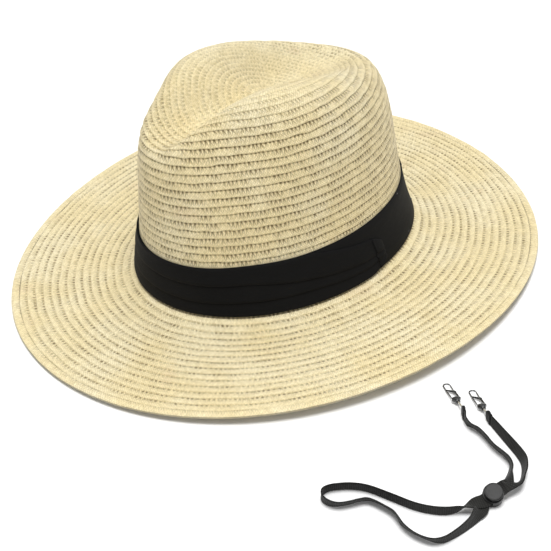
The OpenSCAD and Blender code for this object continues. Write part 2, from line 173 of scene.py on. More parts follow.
def straw_material(name, dash_pitch, line_depth, tick_depth, relief, line_from, underside_shade=0.0):
    """Flat paper plait: u runs along a row in mm, v counts rows, each lapped by the next.
    dash_pitch is the length of a stitch, line_depth and tick_depth how strongly the stitch line and
    the strands' ends above it show, with the painted shadow under the next row's lip, line_from
    where across the row the line begins, relief how deep the plait looks, by bump and by painted
    shade in its hollows, and underside_shade how much painted shade darkens the edge's lower face."""
    s = Shader(name, Roughness=0.62, Specular_IOR_Level=0.35, Sheen_Weight=0.12,
               Sheen_Roughness=0.5)
    u, v = s.uv()
    across = s.math("FRACT", v)
    row = s.math("FLOOR", v)
    rows_apart = s.math("MULTIPLY_ADD", row, 0.37, u)
    patches = s.noise(24, 2)
    uneven = s.noise(210, 2)
    fibre = s.noise(1500, 2)
    # Strands of the plait, at 45 degrees to the row, over and under each other
    slants = [s.math("MULTIPLY_ADD", across, lean, s.math("DIVIDE", rows_apart, STRAND))
              for lean in (3.0, -3.0)]
    cells = [s.math("FLOOR", k) for k in slants]
    domes = [s.math("SINE", s.math("MULTIPLY", s.math("FRACT", k), math.pi)) for k in slants]
    over = s.math("PINGPONG", s.math("ADD", *cells), 1.0)
    first, second = (s.math("MULTIPLY", s.math("POWER", near, 0.8),
                            s.math("MULTIPLY_ADD", far, 0.45, 0.55))
                     for near, far in (domes, domes[::-1]))
    weave = s.math("ADD", s.math("MULTIPLY", first, over),
                   s.math("MULTIPLY", second, s.math("SUBTRACT", 1.0, over)))
    mottle = s.step(s.noise(560, 2), 0.4, 0.64)
    ids = s.node("CombineXYZ", X=cells[0], Y=cells[1], Z=row)
    tint = s.node("TexWhiteNoise", settings={"noise_dimensions": "3D"}, Vector=ids)
    # Sewn line under the next row's lip, in dashes, darkened further as painted shadow of the lip
    ends = s.math("ADD", rows_apart, s.math("MULTIPLY", uneven, 2.4))
    dash = s.step(s.wave(ends, dash_pitch), 0.25, 0.8)
    strength = s.step(s.noise(70, 2), 0.34, 0.62, 0.4, 1.0)
    line = s.step(across, line_from, line_from + 0.17)
    stitch_and_lap_shadow = s.math("MULTIPLY", s.math("MULTIPLY_ADD", dash, line_depth, line_depth * 0.3), line)
    stitch_and_lap_shadow = s.math("MULTIPLY", stitch_and_lap_shadow, strength)
    # The strands' ends slant both ways and meet at the line, so they draw small Vs; they also stand
    # for painted shadow of the lip's scalloped edge
    lean = s.math("MULTIPLY_ADD", across, -STITCH_END / 2, STITCH_END / 2)
    arms = [s.wave(s.math(how, ends, lean), STITCH_END) for how in ("ADD", "SUBTRACT")]
    tick = s.step(s.math("MAXIMUM", *arms), 0.66, 0.98)
    ticks = s.math("MULTIPLY", s.math("MULTIPLY", tick, s.step(across, 0.12, 0.75)),
                   s.step(s.noise(150, 1), 0.36, 0.6, 0.25, 1.0))
    shade = s.math("MINIMUM", s.math("MULTIPLY_ADD", ticks, tick_depth, stitch_and_lap_shadow), 1.0)
    # Rows deep in the crease are pressed flatter, so their seams and painted lap shadows show less
    shade = s.math("MULTIPLY", shade, s.step(v, *CREASE_V, 1.0, 0.45))
    # Straw colours: patches, a warm tint here and there, single strands, painted shade in the
    # hollows between strands, and fibre
    base = s.mix(s.step(patches, 0.38, 0.66), rgb(0.93, 0.80, 0.49), rgb(0.96, 0.865, 0.60))
    base = s.mix(s.step(s.noise(38, 1), 0.64, 0.76, 0, 0.5), base, rgb(0.83, 0.66, 0.43))
    base = s.mix(s.math("MULTIPLY", tint, 0.3), base, rgb(0.64, 0.53, 0.27))
    # Painted shade in the hollows between the plait's strands
    base = s.mix(s.step(weave, 0.0, 0.55, relief, 0.0), base, rgb(0.40, 0.31, 0.12))
    base = s.mix(s.math("MULTIPLY", mottle, relief * 0.5), base, rgb(0.56, 0.45, 0.21))
    base = s.mix(s.step(fibre, 0.35, 0.7, 0.0, 0.16), base, rgb(0.6, 0.5, 0.27))
    # Stitch line and strands' ends in dark olive, with painted shadow under each row's lip
    colour = s.mix(s.math("MULTIPLY", shade, 0.94), base, rgb(0.14, 0.094, 0.026))
    # Painted shade on the lower face of the edge's roll
    if underside_shade:
        colour = s.mix(s.step(v, ROLL_V - 0.01, ROLL_V, underside_shade, 0.0), colour,
                       rgb(0.2, 0.19, 0.15))
    height = s.math("SUBTRACT", s.math("MULTIPLY_ADD", fibre, 0.15, weave),
                    s.math("MULTIPLY", shade, 1.2))
    return s.finish(colour, s.step(weave, 0.2, 1.0, 0.72, 0.5),
                    s.bump(height, 0.4 * MM, 0.5 + relief * 0.5))


def woven_material(name, thread, dark, light, along=0.55, sheen=0.3, depth=0.1, rib=False):
    """Woven cloth: u and v in mm, thread is the pitch of the weave and along its share the other
    way. rib makes the ridges run one way."""
    s = Shader(name, Roughness=0.82, Specular_IOR_Level=0.14, Sheen_Weight=sheen,
               Sheen_Roughness=0.45)
    u, v = s.uv()
    warp, weft = s.wave(u, thread), s.wave(v, thread * along)
    weave = warp if rib else s.math("MULTIPLY", warp, weft)
    weave = s.math("MULTIPLY_ADD", s.noise(2600, 2), 0.35, weave)
    if rib:
        weave = s.math("MULTIPLY_ADD", weft, 0.25, weave)
    worn = s.step(s.noise(35, 3), 0.35, 0.7)
    tone = s.math("MULTIPLY_ADD", worn, 0.35, s.math("MULTIPLY", weave, 0.6))
    colour = s.mix(tone, rgb(*dark), rgb(*light))
    creases = s.noise(55, 3, stretch=(1, 1, 3.5))
    normal = s.bump(weave, depth * MM, 0.6, s.bump(creases, 1.2 * MM, 0.35))
    return s.finish(colour, None, normal)


def thread_material(name, colour):
    """Twisted sewing thread."""
    s = Shader(name, Roughness=0.6, Sheen_Weight=0.3)
    u, v = s.uv()
    twist = s.wave(s.math("ADD", u, v), 0.7)
    dim = tuple(c * 0.6 for c in colour)
    return s.finish(s.mix(twist, rgb(*dim), rgb(*colour)), None, s.bump(twist, 0.08 * MM, 0.7))


def pile_material(name, colour, scale, depth):
    """Touch-fastener tape: a field of small loops or hooks."""
    s = Shader(name, Roughness=0.8, Sheen_Weight=0.5)
    dots = s.node("TexVoronoi", Vector=s.node("TexCoord", out=3), Scale=scale)
    tufts = s.step(dots, 0.1, 0.75, 1.0, 0.0)
    dim = tuple(c * 0.4 for c in colour)
    return s.finish(s.mix(tufts, rgb(*dim), rgb(*colour)), None, s.bump(tufts, depth * MM, 0.9))


def metal_material(name, colour, rough, metallic=1.0, coat=0.0):
    """Drawn wire or gloss-coated metal, a little brighter where it is handled, with roughness that
    varies along its grain.
    """
    s = Shader(name, Metallic=metallic, Coat_Weight=coat, Coat_Roughness=0.15)
    grain = s.noise(900, 3, stretch=(1, 1, 6))
    worn = s.step(s.noise(260, 3), 0.5, 0.72)
    dim = tuple(c * 0.78 for c in colour)
    tone = s.mix(grain, rgb(*dim), rgb(*colour))
    bright = tuple(min(1.0, c * 1.5 + 0.03) for c in colour)
    tone = s.mix(s.math("MULTIPLY", worn, 0.3), tone, rgb(*bright))
    return s.finish(tone, s.step(grain, 0.3, 0.7, rough * 0.8, rough * 1.25),
                    s.bump(grain, 0.02 * MM, 0.5))


def plastic_material(name, colour, rough):
    """Moulded plastic with a fine satin skin."""
    s = Shader(name, Specular_IOR_Level=0.2)
    skin = s.noise(2400, 2)
    scuff = s.step(s.noise(180, 4), 0.5, 0.75)
    pale = tuple(c * 1.6 + 0.01 for c in colour)
    return s.finish(s.mix(s.math("MULTIPLY", scuff, 0.5), rgb(*colour), rgb(*pale)),
                    s.step(scuff, 0, 1, rough, rough + 0.15), s.bump(skin, 0.03 * MM, 0.6))


MATERIALS = {
    "straw": straw_material("straw", 3.2, 0.52, 0.42, 0.72, 0.64),
    "straw_crown": straw_material("straw_crown", 2.6, 0.54, 0.8, 0.9, 0.75),
    "straw_edge": straw_material("straw_edge", 3.2, 0.5, 0.4, 0.7, 0.7, underside_shade=0.4),
    "band_cloth": woven_material("band_cloth", 0.8, (0.0015, 0.0015, 0.0016),
                                 (0.0055, 0.0055, 0.0056), sheen=0.02),
    "thread_black": thread_material("thread_black", (0.02, 0.02, 0.02)),
    "sweat_cloth": woven_material("sweat_cloth", 1.2, (0.012, 0.012, 0.013), (0.05, 0.05, 0.052),
                                  rib=True, depth=0.3),
    "thread_straw": thread_material("thread_straw", (0.75, 0.68, 0.5)),
    "loop_tape": pile_material("loop_tape", (0.05, 0.05, 0.05), 1600, 0.5),
    "hook_tape": pile_material("hook_tape", (0.06, 0.06, 0.06), 900, 0.6),
    "webbing_cloth": woven_material("webbing_cloth", 1.2, (0.004, 0.004, 0.0038),
                                    (0.034, 0.034, 0.031), along=0.8, sheen=0.12, depth=0.3),
    "sleeve_black": woven_material("sleeve_black", 1.0, (0.004, 0.004, 0.004),
                                   (0.02, 0.02, 0.02), sheen=0.12),
    "ring_metal": metal_material("ring_metal", (0.03, 0.03, 0.03), 0.35, 0.3, 0.6),
    "link_metal": metal_material("link_metal", (0.78, 0.77, 0.72), 0.28),
    "clip_black": metal_material("clip_black", (0.008, 0.008, 0.008), 0.32, 0.2, 0.5),
    "gate_metal": metal_material("gate_metal", (0.17, 0.17, 0.165), 0.34),
    "lock_plastic": plastic_material("lock_plastic", (0.014, 0.014, 0.0135), 0.36),
    "spring_steel": metal_material("spring_steel", (0.6, 0.6, 0.6), 0.3),
}

# ---------- Meshes ----------


def add_mesh(name, slot, body, nodes, points, faces, uvs, material=None):
    """A smooth mesh piece. uvs gives one (u, v) for each corner of each face, in face order."""
    mesh = bpy.data.meshes.new(name)
    mesh.from_pydata(np.asarray(points).tolist(), [], faces)
    layer = mesh.uv_layers.new(name="lay")
    layer.data.foreach_set("uv", np.asarray(uvs, dtype=np.float32).ravel())
    mesh.shade_smooth()
    mesh.materials.append(MATERIALS[material or slot])
    piece = bpy.data.objects.new(name, mesh)
    bpy.context.scene.collection.objects.link(piece)
    if nodes:
        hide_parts(*nodes)
    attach(piece, body)
    return piece


def grid_part(points, u, v, around=False, flip=False):
    """Quads over an (n, m, 3) grid with coordinates u and v. around joins the last column to the
    first, and u and v then have m + 1 columns."""
    n, m = points.shape[:2]
    rows = np.arange(n - 1)[:, None]
    cols = np.arange(m if around else m - 1)[None, :]
    nxt = (cols + 1) % m
    corners = [(rows, cols, cols), (rows, nxt, cols + 1), (rows + 1, nxt, cols + 1),
               (rows + 1, cols, cols)]
    if flip:
        corners = corners[::-1]
    faces = np.stack([np.broadcast_to(r * m + c, (n - 1, cols.size))
                      for r, c, _ in corners], -1).reshape(-1, 4)
    uv = np.stack([np.stack([u[r, w], v[r, w]], -1) for r, _, w in corners], 2).reshape(-1, 2)
    return points.reshape(-1, 3), faces.tolist(), uv


def tube_part(rings, along, around, caps=True):
    """A skin over (n, m, 3) rings. along gives u for each ring and around v for each of the m + 1
    places round it, in mm. caps closes both ends with a fan."""
    n, m = rings.shape[:2]
    u = np.repeat(along[:, None], m + 1, 1)
    v = np.repeat(around[None, :], n, 0)
    points, faces, uv = grid_part(rings, u, v, around=True)
    if caps:
        for ring, order in ((0, list(range(m))[::-1]), (n - 1, list(range(m)))):
            middle = len(points)
            points = np.concatenate([points, rings[ring].mean(0)[None]])
            for k in range(m):
                faces.append([middle, ring * m + order[k], ring * m + order[(k + 1) % m]])
            uv = np.concatenate([uv, np.tile([[along[ring], 0.0], [along[ring], 0.3],
                                              [along[ring], 0.3]], (m, 1))])
    return points, faces, uv


def join_parts(parts):
    """Several (points, faces, uvs) as one."""
    points, faces, uvs, count = [], [], [], 0
    for p, f, w in parts:
        points.append(p)
        faces.extend([[i + count for i in face] for face in f])
        uvs.append(w)
        count += len(p)
    return np.concatenate(points), faces, np.concatenate(uvs)


# ---------- Surface of the hat, in mm from the join of crown and brim ----------

JOIN_Z = 14.379
HALF_W, HALF_L, BRIM_W = 80.0, 103.0, 84.5
BRAID_T, EDGE_W = 1.6, 5.2
# Start of the braid, at the bottom of the crease
POLE = np.array([0.0, -5.0, 109.0])
# The crest that the crown folds over: half width, half length, how far back and how high it lies
CREST_W, CREST_L, CREST_BACK, CREST_Z = 34, 82, 13.6, 119
# The pinch each side of the front: depth, then place and spread round the wall and up it
PINCH, PINCH_AT, PINCH_WIDE, PINCH_UP, PINCH_TALL = 6.5, 49, 14, 0.68, 0.27
# Where the brim turns out of the wall: share of its width, and drop in the turn
TURN_R, TURN_DROP = 0.22, 4.5


def sin(a):
    """Of degrees, as all angles round the hat are: 0 at the front, 90 on the wearer's left."""
    return np.sin(np.radians(a))


def cos(a):
    return np.cos(np.radians(a))


def unit(v):
    return v / np.linalg.norm(v, axis=-1, keepdims=True)


def vec(x, y, z):
    return np.stack(np.broadcast_arrays(x, y, z), -1).astype(float)


def out_dir(a):
    """Level direction out of the wall at angle a."""
    return unit(vec(sin(a) / HALF_W, -cos(a) / HALF_L, 0))


def base(a):
    return vec(HALF_W * sin(a), -HALF_L * cos(a), 0)


def crest(a):
    return vec(CREST_W * sin(a), -CREST_L * cos(a) - CREST_BACK,
               CREST_Z + 2.3 * cos(a) - 12 * cos(2 * a) - 3.8 * cos(3 * a))


def bell(x):
    return np.exp(-x * x / 2)


def wall(a, v):
    """The wall from the join (v = 0) to the crest (v = 1)."""
    a, v = np.broadcast_arrays(a, v)
    b, c = base(a), crest(a)
    p, q = b + (c - b) * 0.45, c + (b - c) * 0.8
    p[..., 2], q[..., 2] = c[..., 2] * 0.4, c[..., 2]
    half_turn = abs((a + 540) % 360 - 180)
    pinch = (PINCH * bell((half_turn - PINCH_AT) / PINCH_WIDE)
             * bell((v - PINCH_UP) / PINCH_TALL))
    v, pinch = v[..., None], pinch[..., None]
    w = 1 - v
    return b * w**3 + p * 3 * v * w**2 + q * 3 * v**2 * w + c * v**3 - out_dir(a) * pinch


def dish(a, t):
    """The crease from the crest (t = 0) down to the pole (t = 1)."""
    a, t = np.broadcast_arrays(a, t)
    c = wall(a, np.ones_like(t))
    s = t * t * (3 - 2 * t)
    return vec(c[..., 0] * (1 - t), c[..., 1] * (1 - t) + POLE[1] * t,
               c[..., 2] * (1 - s) + POLE[2] * s)


def brim_top(a, r):
    """The brim's upper face from the join (r = 0) to its edge (r = 1), drooping unevenly."""
    droop = 3.1 + 2 * cos(a) + 1.9 * cos(2 * a) - 3.5 * sin(2 * a) - 0.6 * cos(3 * a) + sin(3 * a)
    q = np.minimum(r / TURN_R, 1)
    drop = -droop * np.maximum(r, 0)**1.2 - TURN_DROP * (1 - (1 - q)**2)
    return base(a) + out_dir(a) * (BRIM_W * r)[..., None] + vec(0 * drop, 0 * drop, drop)


def beside(a, z, d):
    """Points beside the wall at heights z, standing out by d."""
    a, z, d = (np.asarray(k, dtype=float) for k in np.broadcast_arrays(a, z, d))
    low, high = np.zeros_like(z), np.ones_like(z)
    for _ in range(18):
        v = (low + high) / 2
        above = wall(a, v)[..., 2] > z
        low, high = np.where(above, low, v), np.where(above, v, high)
    return wall(a, (low + high) / 2) + out_dir(a) * d[..., None]


def placed(points):
    """From mm above the join to the row frame in metres."""
    return (points + [0, 0, JOIN_Z]) * MM


# ---------- Straw: rows of braid, each lapping the next one out ----------

PITCH = 5.35
CROWN_ROWS = 40
BRIM_ROWS = 15
# A row's section: share of the pitch from its lip, and height of the face above the braid's middle
LAP_AT = np.array([-0.015, 0.0, 0.045, 0.16, 0.45, 0.8, 1.03])
LAP_UP = np.array([-0.15, 0.28, 0.6, 0.72, 0.55, 0.22, 0.0])


def crown_rows(angles):
    """Function of rows from the join (0) to the pole, on each angle, made from arc lengths."""
    tables = []
    for a in angles:
        t = np.linspace(0, 1, 90)
        up = wall(np.full_like(t, a), t)
        over = dish(np.full_like(t, a), t)
        wall_s = np.concatenate([[0], np.cumsum(np.linalg.norm(np.diff(up, axis=0), axis=1))])
        dish_s = np.concatenate([[0], np.cumsum(np.linalg.norm(np.diff(over, axis=0), axis=1))])
        rows = wall_s[-1] / PITCH
        rest = (CROWN_ROWS - rows) * dish_s[1:] / dish_s[-1]
        phase = np.concatenate([wall_s / PITCH, rows + rest])
        tables.append((phase, np.concatenate([up, over[1:]])))

    def at(phase):
        """phase is (n, m) for m angles; gives (n, m, 3)."""
        out = np.empty(phase.shape + (3,))
        for j, (known, points) in enumerate(tables):
            for k in range(3):
                out[:, j, k] = np.interp(phase[:, j], known, points[:, k])
        return out
    return at


def brim_rows(angles):
    def at(phase):
        r = -phase / BRIM_ROWS * (1 - EDGE_W / BRIM_W)
        return brim_top(np.broadcast_to(angles, phase.shape), r)
    return at


def ripple(angles, size, low, high, count=7):
    """A closed wavering line round the hat, of about that size."""
    waves = rng.integers(low, high, count)
    shift = rng.uniform(0, 2 * math.pi, count)
    tall = rng.uniform(0.4, 1, count)
    line = sum(h * np.sin(np.radians(angles) * k + p) for k, p, h in zip(waves, shift, tall))
    return line * size / np.sqrt((tall**2).sum() / 2)


def row_part(at, angles, row, rise=LAP_UP, share=LAP_AT, sink=0.72, flip=False, last=CROWN_ROWS):
    """One row of braid on the surface at(), as a grid with its plait's coordinates."""
    bold = 1 + 0.5 * bell((row - 21) / 6) if row > 7 else 1.0
    bold *= 1 - 0.7 * min(max((row - 22) / 5, 0), 1)
    waver = ripple(angles, 0.026 * bold, 5, 46)[None, :]
    lift = ripple(angles, 0.08, 4, 40)[None, :] + bold - 1
    phase = row + share[:, None] + waver * (1 - share[:, None])
    phase = np.minimum(phase, last - 0.02)
    step = 0.02
    here = at(phase)
    along = np.roll(here, -1, 1) - np.roll(here, 1, 1)
    up = at(phase + step) - at(phase - step)
    out = unit(np.cross(along, up))
    face = here + out * (rise[:, None] * (1 + lift) - sink)[..., None]
    middle = at(np.full((1, len(angles)), row + 0.5))[0]
    lengths = np.linalg.norm(np.roll(middle, -1, 0) - middle, axis=1)
    total = lengths.sum()
    # Whole repeats of the plait close the row
    run = np.concatenate([[0], np.cumsum(lengths)]) * max(1, round(total / REPEAT)) * REPEAT / total
    u = np.repeat(run[None, :], len(share), 0)
    v = np.repeat((row + JOIN_V + np.clip(share, 0.002, 0.998))[:, None], len(angles) + 1, 1)
    return grid_part(placed(face), u, v, around=True, flip=flip)


def make_crown():
    angles = np.arange(320) * 360 / 320
    at = crown_rows(angles)
    parts = [row_part(at, angles, row) for row in range(CROWN_ROWS)]
    # The closed start of the braid in the middle of the crease
    ring = parts[-1][0].reshape(len(LAP_AT), len(angles), 3)[-1]
    pole = placed(POLE - [0, 0, 0.6])
    count = len(angles)
    faces = [[j, (j + 1) % count, count] for j in range(count)]
    uv = np.tile([[0.2, JOIN_V + CROWN_ROWS + 0.5]], (3 * count, 1))
    parts.append((np.concatenate([ring, pole[None]]), faces, uv))
    add_mesh("crown_braid", "straw", "hat", ["crown"], *join_parts(parts), material="straw_crown")
    # Inside, the same rows show from their other face
    angles = np.arange(200) * 360 / 200
    at = crown_rows(angles)
    share = np.array([-0.02, 0.15, 0.6, 0.9, 1.0])
    rise = np.array([0.0, -0.1, -0.35, -0.45, -0.05])
    parts = [row_part(at, angles, row, rise, share, BRAID_T - 0.4, True)
             for row in range(CROWN_ROWS)]
    add_mesh("crown_inside", "straw", "hat", ["crown"], *join_parts(parts))


def make_brim():
    angles = np.arange(640) * 360 / 640
    at = brim_rows(angles)
    parts = [row_part(at, angles, row) for row in range(-BRIM_ROWS, 0)]
    add_mesh("brim_braid", "straw", "hat", ["brim"], *join_parts(parts))
    share = np.array([-0.03, 0.2, 0.55, 0.84, 0.95, 1.0])
    rise = np.array([0.0, -0.22, -0.45, -0.6, -0.5, -0.05])
    parts = [row_part(at, angles, row, rise, share, BRAID_T - 0.6, True)
             for row in range(-BRIM_ROWS, 0)]
    add_mesh("brim_underside", "straw", "hat", ["brim"], *join_parts(parts))


def make_brim_edge():
    """The last row, doubled over a cord-like roll and sewn, gently wavy."""
    steps, sides = 720, 16
    angles = np.arange(steps) * 360 / steps
    wave = ripple(angles, 0.16, 9, 60)
    turns = np.radians(np.arange(sides) * 360 / sides + 180)
    side = np.sign(np.cos(turns)) * abs(np.cos(turns))**0.75
    up = np.sign(np.sin(turns)) * abs(np.sin(turns))**0.8
    rings = []
    for j, a in enumerate(angles):
        x = 1 - EDGE_W / BRIM_W / 2 + side * EDGE_W / BRIM_W * 0.52
        thick = np.where(side > 0, 1.25, 1.05 + 0.2 * (1 + side))
        top = brim_top(np.full_like(x, a), x)
        top[:, 2] += -0.85 + up * thick + abs(wave[j]) * (1 + side) * 0.5
        rings.append(top)
    rings = placed(np.array(rings))
    edge = rings[:, 0]
    lengths = np.linalg.norm(np.roll(edge, -1, 0) - edge, axis=1)
    run = np.concatenate([[0], np.cumsum(lengths)]) / MM
    run *= round(run[-1] / REPEAT) * REPEAT / run[-1]
    across = np.concatenate([np.linspace(ROLL_V - 0.02, ROLL_V - 0.97, 9),
                             np.linspace(ROLL_V + 0.1, ROLL_V + 0.96, 8)])[:sides]
    grid = np.concatenate([rings, rings[:1]])
    points, faces, uv = grid_part(grid.transpose(1, 0, 2), np.repeat(run[None], sides, 0),
                                  np.repeat(across[:, None], steps + 1, 1), flip=True)
    # Close the section's seam, on the roll's inner side
    last = (sides - 1) * (steps + 1)
    faces += [[last + j + 1, j + 1, j, last + j] for j in range(steps)]
    low, high = ROLL_V - 0.02, ROLL_V - 0.01
    seam_uv = [[(run[j + 1], high), (run[j + 1], low), (run[j], low), (run[j], high)]
               for j in range(steps)]
    uv = np.concatenate([uv, np.array(seam_uv).reshape(-1, 2)])
    add_mesh("brim_edge_roll", "straw_edge", "hat", ["brim_edge"], points, faces, uv)


make_crown()
make_brim()
make_brim_edge()

# ---------- Band, sweatband and what is sewn to them ----------

BAND_LOW, BAND_H, BAND_GAP, LINING_T, PLEAT_T = 0.8, 32.8, 0.2, 0.7, 1.9
PLEAT_IN = BAND_GAP + LINING_T + 0.15
FOLD_START, FOLD_TIP = 93, 105


def section_band(name, slot, nodes, angles, section, closed=False):
    """Cloth round the wall: section(a) gives (z, d) pairs round the cloth's own outline."""
    rings = []
    for a in angles:
        z, d = np.array(section(a)).T
        rings.append(beside(np.full_like(z, a), z, d))
    rings = np.array(rings)
    step = np.linalg.norm(np.diff(rings[:, 0], axis=0), axis=1)
    run = np.concatenate([[0], np.cumsum(step)])
    girth = np.linalg.norm(np.diff(np.concatenate([rings[0], rings[0][:1]]), axis=0), axis=1)
    around = np.concatenate([[0], np.cumsum(girth)])
    if closed:
        grid = np.concatenate([rings, rings[:1]])
        run = np.concatenate([run, [run[-1] + step.mean()]])
        part = tube_part(placed(grid), run, around, caps=False)
    else:
        part = tube_part(placed(rings), run, around)
    add_mesh(name, slot, "hat", nodes, *part)


def strip(z0, z1, d0, d1, steps=6, round_by=0.3):
    """A flat cloth section with rounded edges, inner face first and upwards."""
    t = np.linspace(0, 1, steps)
    inner = [(z0 + (z1 - z0) * k, d0) for k in t]
    outer = [(z1 - (z1 - z0) * k, d1) for k in t]
    mid = (d0 + d1) / 2
    return inner + [(z1 + round_by, mid)] + outer + [(z0 - round_by, mid)]


def waver_of(waves, size):
    """A fixed smooth function of angle, for uneven cloth."""
    shift = rng.uniform(0, 2 * math.pi, len(waves))
    return lambda a: size * sum(math.sin(math.radians(a) * k + p)
                                for k, p in zip(waves, shift)) / len(waves)


def pleat_height(a):
    return BAND_H if a < 70 else BAND_H - (min(a, FOLD_START) - 70) * 0.42


def pleat_limits(a):
    """Bottom and top of the laid pleats, closing to a rounded end at the fold's tip."""
    tall = pleat_height(a)
    t = max(0, (a - FOLD_START) / (FOLD_TIP - FOLD_START))
    shrink = math.sqrt(max(1 - 0.75 * t * t, 0))
    middle = BAND_LOW + tall * (0.5 - 0.08 * t)
    return middle - tall * 0.5 * shrink * (1 - 0.16 * t), middle + tall * 0.5 * shrink


def ease(a, a0, a1, y0, y1):
    """y0 up to a0, y1 from a1, and smooth between them."""
    t = min(max((a - a0) / (a1 - a0), 0), 1)
    return y0 + (y1 - y0) * t * t * (3 - 2 * t)


def upper_shares(low, high):
    """Shares of the height and of the thickness over the three pleats' faces, from the bottom."""
    face = [(0.04, 0.8), (0.12, 0.93), (0.3, 0.88), (0.55, 0.7), (0.96, 0.52)]
    shares = []
    for z0, z1 in ((0, low), (low, high), (high, 1)):
        shares += [(z0 + (z1 - z0) * k, f) for k, f in face]
    return shares


def make_band():
    sag = waver_of((3, 7, 11), 0.25)
    section_band("band_ribbon", "band_cloth", ["band_lining"], np.arange(240) * 1.5,
                 lambda a: strip(BAND_LOW + 0.2, BAND_LOW + BAND_H - 0.4 + sag(a), BAND_GAP,
                                 BAND_GAP + LINING_T), closed=True)
    angles = np.arange(-180, FOLD_TIP - 1.5, 1.0)
    upper = lambda a: 0.66 + sag(a) * 0.05 - ease(a, 40, 80, 0, 0.17)
    lower = lambda a: 0.29 + sag(a + 40) * 0.04 + ease(a, -60, 60, 0.03, 0)
    edges = {"top": (upper, lambda a: 1.0), "middle": (lower, upper),
             "bottom": (lambda a: 0.0, lower)}
    for name, (low, high) in edges.items():
        swell = waver_of((5, 9, 14, 23), 0.16)

        def section(a, low=low, high=high, swell=swell, name=name):
            floor, top = pleat_limits(a)
            z0, z1 = (floor + (top - floor) * k(a) for k in (low, high))
            lap = 0.6 if name != "bottom" else 0.0
            tuck = 1.4 if name != "top" else 0.0
            full = (PLEAT_T + swell(a) - 0.15) * ease(a, -180, -170, 0.35, 1)
            full *= ease(a, FOLD_START, FOLD_TIP - 2, 1, 0.7)
            low_face, high_face = full * (0.95 if name != "bottom" else 0.75), full * 0.42
            h = z1 - z0
            rim = PLEAT_IN + full * (0.5 if name != "top" else 0.35)
            return [(z0 + 0.1, PLEAT_IN), (z0 + h * 0.5, PLEAT_IN), (z1 + tuck, PLEAT_IN + 0.02),
                    (z1 + tuck + 0.1, PLEAT_IN + high_face * 0.5),
                    (z1 + tuck, PLEAT_IN + high_face),
                    (z0 + h * 0.8, rim), (z0 + h * 0.5, PLEAT_IN + full * 0.66),
                    (z0 + h * 0.25, PLEAT_IN + full * 0.86), (z0 + h * 0.1, PLEAT_IN + low_face),
                    (z0 + 0.1 - lap * 0.5, PLEAT_IN + low_face * 0.98),
                    (z0 - lap, PLEAT_IN + low_face * 0.8), (z0 - lap, PLEAT_IN + low_face * 0.5)]
        section_band("band_pleat_%s_cloth" % name, "band_cloth", ["band_pleat_" + name],
                     angles, section)

    fold_from = FOLD_TIP - 5.5

    def fold(a):
        z0, z1 = pleat_limits(a)
        t = (a - fold_from) / (FOLD_TIP - fold_from)
        full = (PLEAT_T + 0.25) * math.sqrt(max(1 - (t * 0.95)**3, 0.02))
        h, d = z1 - z0, PLEAT_IN
        # The pleats' own faces run on into the fold
        faces = [(z0 + h * k, d + full * f) for k, f in upper_shares(lower(a), upper(a))]
        inner = [(z0, d), (z0 + h * 0.5, d), (z1 + 0.1, d), (z1 + 0.25, d + full * 0.3)]
        return inner + faces[::-1] + [(z0 - 0.25, d + full * 0.3)]

    # Closer steps towards the tip, where it rounds off
    fold_angles = fold_from + sin(np.linspace(0, 90, 22)) * (FOLD_TIP - fold_from)
    section_band("band_fold_cloth", "band_cloth", ["band_fold_end"], fold_angles, fold)


SWEAT_LOW, SWEAT_H, SWEAT_D, SWEAT_T = 0.8, 30.0, -1.8, 1.0
TAPE_LOW, TAPE_H = 6, 20


def make_sweatband():
    sag = waver_of((4, 9, 17), 0.3)
    section_band("sweatband_ribbon", "sweat_cloth", ["sweatband"], np.arange(240) * 1.5,
                 lambda a: strip(SWEAT_LOW + 0.1, SWEAT_LOW + SWEAT_H - 0.4 + sag(a),
                                 SWEAT_D - SWEAT_T + 0.1 * sag(a * 2), SWEAT_D), closed=True)
    loop_d = SWEAT_D - SWEAT_T - 0.15
    for name, slot, a0, a1, d, t in (("size_loop_tape", "loop_tape", 162, 192, loop_d, 1.0),
                                     ("size_hook_tape", "hook_tape", 168, 186, loop_d - 1.15, 1.2)):
        section_band(name + "_pile", slot, [name], np.linspace(a0, a1, 26),
                     lambda a: strip(TAPE_LOW + 0.3, TAPE_LOW + TAPE_H - 0.3, d - t, d))


def stitch_part(middle, along, out, length, r):
    """One thread stitch: a short arc of round thread lying along a seam."""
    side = np.cross(along, out)
    t = np.linspace(-1, 1, 7)
    turns = np.radians(np.arange(6) * 60)
    rings = []
    for k in t:
        thin = r * math.sqrt(max(1 - k**4 * 0.8, 0.05))
        centre = middle + along * length / 2 * k + out * r * (1.2 - 1.6 * k * k)
        rings.append([centre + (out * math.cos(q) + side * math.sin(q)) * thin for q in turns])
    return tube_part(placed(np.array(rings)), t * length / 2, np.linspace(0, 2, 7))


def make_stitches():
    level = lambda a: unit(np.cross(np.array([0, 0, 1.0]), out_dir(a)))
    parts = []
    for a in np.arange(60) * 6 + 3.0:
        spot = beside(a, SWEAT_LOW + 2.5, SWEAT_D - SWEAT_T)
        parts.append(stitch_part(spot, level(a), -out_dir(a), 4, 0.3))
    add_mesh("sweatband_thread", "thread_straw", "hat", ["sweatband_stitches"], *join_parts(parts))
    parts = [stitch_part(beside(a, z, BAND_GAP + LINING_T), level(a), out_dir(a), 2, 0.25)
             for a in (125.0, 150.0, 172.0) for z in (BAND_LOW + 2, BAND_LOW + BAND_H - 2)]
    add_mesh("band_thread", "thread_black", "hat", ["band_stitches"], *join_parts(parts))


make_band()
make_sweatband()
make_stitches()

# ---------- Chin strap: the route of part.scad, in metres, with the lean of its width ----------

